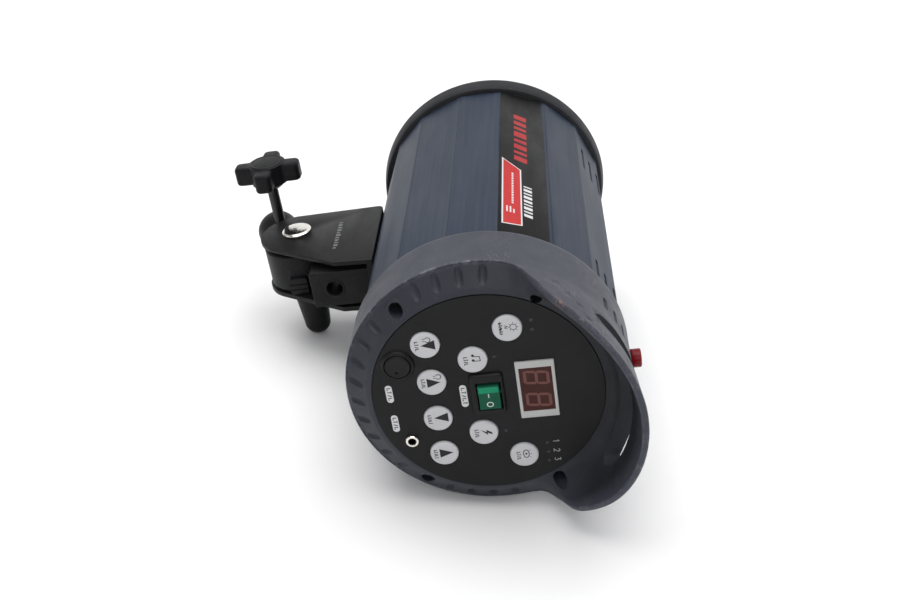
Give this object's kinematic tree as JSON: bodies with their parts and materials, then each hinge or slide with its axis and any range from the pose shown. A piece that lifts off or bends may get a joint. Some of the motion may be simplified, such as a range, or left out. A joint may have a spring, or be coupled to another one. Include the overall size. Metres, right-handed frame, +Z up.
{
  "type": "monolight strobe",
  "caption": "Mains studio flash head with rear control panel, hooded cover, tilting stand socket, umbrella hole, ring flash tube and front bayonet.",
  "frame": {"origin": "on the table under the middle of the head's footprint, with the head lying on its side", "axes": "+Y along the optical axis from the rear panel to the front bayonet; +X towards the hood, the side that faces up in use, which is raised 8.15 degrees; +Z up from the table the head lies on"},
  "size_m": [0.2104, 0.275, 0.1268],
  "materials": {
    "barrel_paint": "satin slate blue paint",
    "cover_plastic": "fine texture, worn edges",
    "panel_black": "printed film, satin",
    "display_white": "white",
    "display_red": "dark red window",
    "black_plastic": "satin",
    "light_smoke": "smoked lens",
    "rocker_green": "translucent green",
    "fuse_glass": "glass cartridge",
    "chrome_plate": "bright",
    "sensor_red": "translucent red",
    "screw_steel": "zinc plated",
    "board_green": "circuit board",
    "can_blue": "sleeved can",
    "board_tan": "insulating board",
    "coil_brown": "varnished winding",
    "ring_black": "satin black",
    "reflector_white": "white insulating plate",
    "flash_glass": "quartz tube",
    "ceramic_white": "glazed ceramic",
    "cap_metal": "plated cap",
    "frosted_glass": "frosted glass",
    "label_black": "printed film",
    "brass_blade": "plain",
    "bracket_black": "satin black",
    "head_black": "satin black casting",
    "fibre_brown": "fibre",
    "knob_black": "fine grain",
    "button_grey": "light grey cap"
  },
  "bodies": {
    "housing": {"main_tube": "barrel_paint", "rear_cover": "cover_plastic", "control_panel": "panel_black", "display_bezel": "display_white", "display_window": "display_red", "display_module": "black_plastic", "status_lights": "light_smoke", "switch_frame": "black_plastic", "fuse_holder": "black_plastic", "fuse_link": "fuse_glass", "sync_bushing": "chrome_plate", "sync_socket": "black_plastic", "slave_sensor": "sensor_red", "cover_screws": "screw_steel", "tie_rods": "screw_steel", "panel_board": "board_green", "key_switches": "black_plastic", "fan_frame": "black_plastic", "charge_board": "board_green", "capacitor_bank": "can_blue", "mid_plate": "board_tan", "trigger_coil": "coil_brown", "front_ring": "ring_black", "bayonet_plate": "screw_steel", "bayonet_screws": "screw_steel", "lamp_base_plate": "reflector_white", "flash_tube": "flash_glass", "tube_supports": "screw_steel", "lamp_holder": "ceramic_white", "lamp_cap": "cap_metal", "lamp_glass": "frosted_glass", "label_strip": "label_black", "mains_inlet": "black_plastic", "inlet_blades": "brass_blade", "tilt_bracket": "bracket_black", "bracket_screws": "screw_steel", "umbrella_block": "bracket_black", "tilt_bolt": "chrome_plate", "handle_washer": "screw_steel"},
    "tilting_head": {"tilt_head": "head_black", "friction_washers": "fibre_brown"},
    "stand_clamp": {"stand_knob": "knob_black", "stand_screw": "screw_steel"},
    "tilt_grip": {"tilt_handle": "knob_black", "handle_insert": "brass_blade"},
    "rocker": {"power_rocker": "rocker_green"},
    "fuse_carrier": {"fuse_cap": "black_plastic"},
    "fan_wheel": {"fan_rotor": "black_plastic"},
    "latch": {"latch_slider": "black_plastic"},
    "button_lamp_down": {"button_lamp_down": "button_grey"},
    "button_lamp_up": {"button_lamp_up": "button_grey"},
    "button_power_down": {"button_power_down": "button_grey"},
    "button_power_up": {"button_power_up": "button_grey"},
    "button_sound": {"button_sound": "button_grey"},
    "button_test": {"button_test": "button_grey"},
    "button_lamp_mode": {"button_lamp_mode": "button_grey"},
    "button_cell": {"button_cell": "button_grey"}
  },
  "joints": [
    {"name": "head_tilt", "type": "hinge", "parent": "housing", "child": "tilting_head", "pos_m": [-0.06584, 0.041, 0.04852], "axis": [0.1418, 0, -0.9899], "range_deg": [-140, 45]},
    {"name": "clamp_knob_turn", "type": "hinge", "parent": "tilting_head", "child": "stand_clamp", "pos_m": [-0.08494, 0.06698, 0.07608], "axis": [0.1418, 0, -0.9899], "range_deg": [0, 315]},
    {"name": "grip_turn", "type": "hinge", "parent": "housing", "child": "tilt_grip", "pos_m": [-0.06158, 0.041, 0.01882], "axis": [0.1418, 0, -0.9899], "range_deg": [0, 270]},
    {"name": "power_rock", "type": "hinge", "parent": "housing", "child": "rocker", "pos_m": [0.03793, -0.1055, 0.06459], "axis": [0.9899, 0, 0.1418], "range_deg": [-18, 0]},
    {"name": "fuse_cap_turn", "type": "hinge", "parent": "housing", "child": "fuse_carrier", "pos_m": [-0.00051, -0.1065, 0.07767], "axis": [0, 1, 0], "range_deg": [-60, 0]},
    {"name": "fan_spin", "type": "hinge", "parent": "housing", "child": "fan_wheel", "pos_m": [0.0381, -0.0655, 0.0634], "axis": [0, 1, 0], "continuous": true},
    {"name": "latch_pull", "type": "slide", "parent": "housing", "child": "latch", "axis": [0, -1, 0], "range_m": [0, 0.003], "stiffness_N_per_m": 300},
    {"name": "press_lamp_down", "type": "slide", "parent": "housing", "child": "button_lamp_down", "axis": [0, 1, 0], "range_m": [0, 0.0007], "stiffness_N_per_m": 1500},
    {"name": "press_lamp_up", "type": "slide", "parent": "housing", "child": "button_lamp_up", "axis": [0, 1, 0], "range_m": [0, 0.0007], "stiffness_N_per_m": 1500},
    {"name": "press_power_down", "type": "slide", "parent": "housing", "child": "button_power_down", "axis": [0, 1, 0], "range_m": [0, 0.0007], "stiffness_N_per_m": 1500},
    {"name": "press_power_up", "type": "slide", "parent": "housing", "child": "button_power_up", "axis": [0, 1, 0], "range_m": [0, 0.0007], "stiffness_N_per_m": 1500},
    {"name": "press_sound", "type": "slide", "parent": "housing", "child": "button_sound", "axis": [0, 1, 0], "range_m": [0, 0.0007], "stiffness_N_per_m": 1500},
    {"name": "press_test", "type": "slide", "parent": "housing", "child": "button_test", "axis": [0, 1, 0], "range_m": [0, 0.0007], "stiffness_N_per_m": 1500},
    {"name": "press_lamp_mode", "type": "slide", "parent": "housing", "child": "button_lamp_mode", "axis": [0, 1, 0], "range_m": [0, 0.0007], "stiffness_N_per_m": 1500},
    {"name": "press_cell", "type": "slide", "parent": "housing", "child": "button_cell", "axis": [0, 1, 0], "range_m": [0, 0.0007], "stiffness_N_per_m": 1500}
  ]
}
